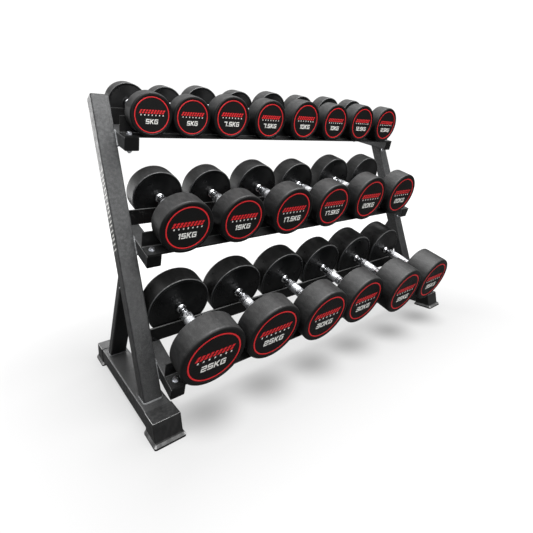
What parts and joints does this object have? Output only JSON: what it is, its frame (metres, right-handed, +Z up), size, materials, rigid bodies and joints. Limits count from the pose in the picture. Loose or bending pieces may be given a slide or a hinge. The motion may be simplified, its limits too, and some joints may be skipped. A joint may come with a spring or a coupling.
{
  "type": "dumbbell rack",
  "caption": "Free-standing three-tier rack with leaning side frames and angle-rail shelves, loaded with round-headed dumbbells of rising weight.",
  "frame": {"origin": "middle of the footprint on the floor", "axes": "+X along the rack to the right of someone facing it, +Y from the front to the back, +Z up"},
  "size_m": [1.3682, 0.6533, 0.964],
  "materials": {
    "frame_paint": "matte",
    "shoe_rubber": "matte",
    "cap_plastic": "matte",
    "zinc_steel": "satin",
    "head_rubber": "satin",
    "handle_chrome": "polished"
  },
  "bodies": {
    "rack": {"left_front_post": "frame_paint", "right_front_post": "frame_paint", "left_rear_strut": "frame_paint", "right_rear_strut": "frame_paint", "left_base_tube": "frame_paint", "right_base_tube": "frame_paint", "foot_shoes": "shoe_rubber", "tube_end_caps": "cap_plastic", "top_shelf_arms": "frame_paint", "middle_shelf_arms": "frame_paint", "bottom_shelf_arms": "frame_paint", "top_front_rail": "frame_paint", "top_rear_rail": "frame_paint", "middle_front_rail": "frame_paint", "middle_rear_rail": "frame_paint", "bottom_front_rail": "frame_paint", "bottom_rear_rail": "frame_paint", "rail_bolts": "zinc_steel", "rail_washers": "zinc_steel", "rail_nuts": "zinc_steel"},
    "dumbbell_5kg_a": {"dumbbell_5kg_a_heads": "head_rubber", "dumbbell_5kg_a_handle": "handle_chrome"},
    "dumbbell_5kg_b": {"dumbbell_5kg_b_heads": "head_rubber", "dumbbell_5kg_b_handle": "handle_chrome"},
    "dumbbell_7_5kg_a": {"dumbbell_7_5kg_a_heads": "head_rubber", "dumbbell_7_5kg_a_handle": "handle_chrome"},
    "dumbbell_7_5kg_b": {"dumbbell_7_5kg_b_heads": "head_rubber", "dumbbell_7_5kg_b_handle": "handle_chrome"},
    "dumbbell_10kg_a": {"dumbbell_10kg_a_heads": "head_rubber", "dumbbell_10kg_a_handle": "handle_chrome"},
    "dumbbell_10kg_b": {"dumbbell_10kg_b_heads": "head_rubber", "dumbbell_10kg_b_handle": "handle_chrome"},
    "dumbbell_12_5kg_a": {"dumbbell_12_5kg_a_heads": "head_rubber", "dumbbell_12_5kg_a_handle": "handle_chrome"},
    "dumbbell_12_5kg_b": {"dumbbell_12_5kg_b_heads": "head_rubber", "dumbbell_12_5kg_b_handle": "handle_chrome"},
    "dumbbell_15kg_a": {"dumbbell_15kg_a_heads": "head_rubber", "dumbbell_15kg_a_handle": "handle_chrome"},
    "dumbbell_15kg_b": {"dumbbell_15kg_b_heads": "head_rubber", "dumbbell_15kg_b_handle": "handle_chrome"},
    "dumbbell_17_5kg_a": {"dumbbell_17_5kg_a_heads": "head_rubber", "dumbbell_17_5kg_a_handle": "handle_chrome"},
    "dumbbell_17_5kg_b": {"dumbbell_17_5kg_b_heads": "head_rubber", "dumbbell_17_5kg_b_handle": "handle_chrome"},
    "dumbbell_20kg_a": {"dumbbell_20kg_a_heads": "head_rubber", "dumbbell_20kg_a_handle": "handle_chrome"},
    "dumbbell_20kg_b": {"dumbbell_20kg_b_heads": "head_rubber", "dumbbell_20kg_b_handle": "handle_chrome"},
    "dumbbell_25kg_a": {"dumbbell_25kg_a_heads": "head_rubber", "dumbbell_25kg_a_handle": "handle_chrome"},
    "dumbbell_25kg_b": {"dumbbell_25kg_b_heads": "head_rubber", "dumbbell_25kg_b_handle": "handle_chrome"},
    "dumbbell_30kg_a": {"dumbbell_30kg_a_heads": "head_rubber", "dumbbell_30kg_a_handle": "handle_chrome"},
    "dumbbell_30kg_b": {"dumbbell_30kg_b_heads": "head_rubber", "dumbbell_30kg_b_handle": "handle_chrome"},
    "dumbbell_35kg_a": {"dumbbell_35kg_a_heads": "head_rubber", "dumbbell_35kg_a_handle": "handle_chrome"},
    "dumbbell_35kg_b": {"dumbbell_35kg_b_heads": "head_rubber", "dumbbell_35kg_b_handle": "handle_chrome"}
  },
  "joints": [
    {"name": "dumbbell_5kg_a_lift", "type": "slide", "parent": "rack", "child": "dumbbell_5kg_a", "axis": [0, -0.289, 0.9573], "range_m": [0, 0.3]},
    {"name": "dumbbell_5kg_b_lift", "type": "slide", "parent": "rack", "child": "dumbbell_5kg_b", "axis": [0, -0.289, 0.9573], "range_m": [0, 0.3]},
    {"name": "dumbbell_7_5kg_a_lift", "type": "slide", "parent": "rack", "child": "dumbbell_7_5kg_a", "axis": [0, -0.289, 0.9573], "range_m": [0, 0.3]},
    {"name": "dumbbell_7_5kg_b_lift", "type": "slide", "parent": "rack", "child": "dumbbell_7_5kg_b", "axis": [0, -0.289, 0.9573], "range_m": [0, 0.3]},
    {"name": "dumbbell_10kg_a_lift", "type": "slide", "parent": "rack", "child": "dumbbell_10kg_a", "axis": [0, -0.289, 0.9573], "range_m": [0, 0.3]},
    {"name": "dumbbell_10kg_b_lift", "type": "slide", "parent": "rack", "child": "dumbbell_10kg_b", "axis": [0, -0.289, 0.9573], "range_m": [0, 0.3]},
    {"name": "dumbbell_12_5kg_a_lift", "type": "slide", "parent": "rack", "child": "dumbbell_12_5kg_a", "axis": [0, -0.289, 0.9573], "range_m": [0, 0.3]},
    {"name": "dumbbell_12_5kg_b_lift", "type": "slide", "parent": "rack", "child": "dumbbell_12_5kg_b", "axis": [0, -0.289, 0.9573], "range_m": [0, 0.3]},
    {"name": "dumbbell_15kg_a_lift", "type": "slide", "parent": "rack", "child": "dumbbell_15kg_a", "axis": [0, -0.3551, 0.9348], "range_m": [0, 0.05]},
    {"name": "dumbbell_15kg_b_lift", "type": "slide", "parent": "rack", "child": "dumbbell_15kg_b", "axis": [0, -0.3551, 0.9348], "range_m": [0, 0.05]},
    {"name": "dumbbell_17_5kg_a_lift", "type": "slide", "parent": "rack", "child": "dumbbell_17_5kg_a", "axis": [0, -0.3551, 0.9348], "range_m": [0, 0.05]},
    {"name": "dumbbell_17_5kg_b_lift", "type": "slide", "parent": "rack", "child": "dumbbell_17_5kg_b", "axis": [0, -0.3551, 0.9348], "range_m": [0, 0.05]},
    {"name": "dumbbell_20kg_a_lift", "type": "slide", "parent": "rack", "child": "dumbbell_20kg_a", "axis": [0, -0.3551, 0.9348], "range_m": [0, 0.05]},
    {"name": "dumbbell_20kg_b_lift", "type": "slide", "parent": "rack", "child": "dumbbell_20kg_b", "axis": [0, -0.3551, 0.9348], "range_m": [0, 0.05]},
    {"name": "dumbbell_25kg_a_lift", "type": "slide", "parent": "rack", "child": "dumbbell_25kg_a", "axis": [0, -0.3551, 0.9348], "range_m": [0, 0.05]},
    {"name": "dumbbell_25kg_b_lift", "type": "slide", "parent": "rack", "child": "dumbbell_25kg_b", "axis": [0, -0.3551, 0.9348], "range_m": [0, 0.05]},
    {"name": "dumbbell_30kg_a_lift", "type": "slide", "parent": "rack", "child": "dumbbell_30kg_a", "axis": [0, -0.3551, 0.9348], "range_m": [0, 0.05]},
    {"name": "dumbbell_30kg_b_lift", "type": "slide", "parent": "rack", "child": "dumbbell_30kg_b", "axis": [0, -0.3551, 0.9348], "range_m": [0, 0.05]},
    {"name": "dumbbell_35kg_a_lift", "type": "slide", "parent": "rack", "child": "dumbbell_35kg_a", "axis": [0, -0.3551, 0.9348], "range_m": [0, 0.05]},
    {"name": "dumbbell_35kg_b_lift", "type": "slide", "parent": "rack", "child": "dumbbell_35kg_b", "axis": [0, -0.3551, 0.9348], "range_m": [0, 0.05]}
  ]
}
